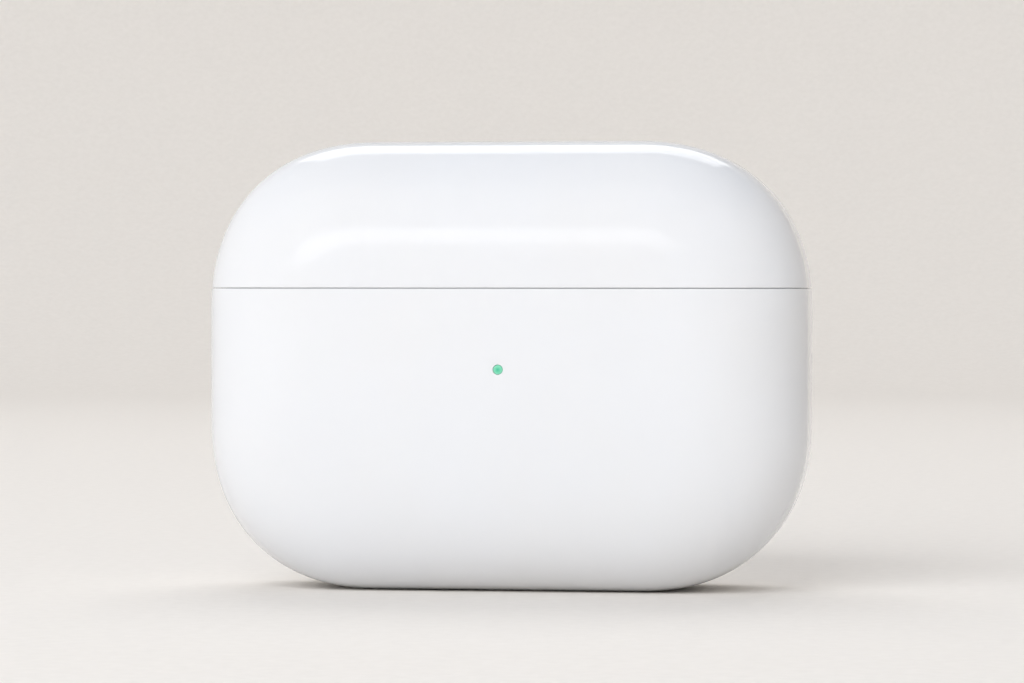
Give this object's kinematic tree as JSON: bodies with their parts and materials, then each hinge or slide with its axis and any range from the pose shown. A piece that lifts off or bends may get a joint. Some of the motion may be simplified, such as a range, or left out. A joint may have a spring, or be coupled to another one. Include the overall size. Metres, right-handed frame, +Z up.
{
  "type": "wireless earbuds charging case",
  "caption": "Pocket-size rounded slab charging case for wireless earbuds: hinged snap-shut lid, two earbud wells, status light, setup button and bottom charging port.",
  "frame": {"origin": "middle of the flat strip the closed case stands on", "axes": "+X to the right as the case faces the viewer, +Y from the front face to the hinge side, +Z up through the lid"},
  "size_m": [0.0606, 0.0218, 0.0452],
  "materials": {
    "white_shell": "high gloss, slightly cool white",
    "white_liner": "satin gloss, slightly cool white",
    "hinge_steel": "polished stainless steel",
    "port_steel": "satin stainless steel",
    "black_plastic": "matte black",
    "lit_green": "clear, lit pale green",
    "circuit_board": "green solder mask",
    "ribbon_film": "amber film",
    "cell_wrap": "dull laminated foil",
    "coil_copper": "enamelled copper wire",
    "ferrite_sheet": "dull dark grey",
    "contact_gold": "polished gold plate",
    "magnet_nickel": "nickel plate"
  },
  "bodies": {
    "base": {"base_shell": "white_shell", "cradle_insert": "white_liner", "hinge_base_leaf": "hinge_steel", "hinge_pin": "hinge_steel", "button_switch": "black_plastic", "led_light_pipe": "lit_green", "status_led": "lit_green", "hall_sensor": "black_plastic", "front_board": "circuit_board", "front_ribbon": "ribbon_film", "port_shell": "port_steel", "port_tongue": "black_plastic", "port_trim_ring": "port_steel", "main_board": "circuit_board", "control_chip": "black_plastic", "charging_chip": "black_plastic", "battery": "cell_wrap", "charge_coil": "coil_copper", "coil_ferrite": "ferrite_sheet", "contact_block_left": "black_plastic", "contact_block_right": "black_plastic", "bud_magnet_left": "magnet_nickel", "bud_magnet_right": "magnet_nickel", "base_magnet_left": "magnet_nickel", "base_magnet_right": "magnet_nickel"},
    "lid": {"lid_shell": "white_shell", "lid_liner": "white_liner", "hinge_lid_leaf": "hinge_steel", "lid_magnet_left": "magnet_nickel", "lid_magnet_right": "magnet_nickel"},
    "button": {"setup_button": "white_shell"},
    "left_contacts": {"contact_pin_left_1": "contact_gold", "contact_pin_left_2": "contact_gold"},
    "right_contacts": {"contact_pin_right_1": "contact_gold", "contact_pin_right_2": "contact_gold"}
  },
  "joints": [
    {"name": "lid_hinge", "type": "hinge", "parent": "base", "child": "lid", "pos_m": [0, 0.0101, 0.03045], "axis": [-1, 0, 0], "range_deg": [0, 100]},
    {"name": "button_press", "type": "slide", "parent": "base", "child": "button", "axis": [0, -1, 0], "range_m": [0, 0.0003]},
    {"name": "left_contact_press", "type": "slide", "parent": "base", "child": "left_contacts", "axis": [0, 0, -1], "range_m": [0, 0.0005]},
    {"name": "right_contact_press", "type": "slide", "parent": "base", "child": "right_contacts", "axis": [0, 0, -1], "range_m": [0, 0.0005]}
  ]
}
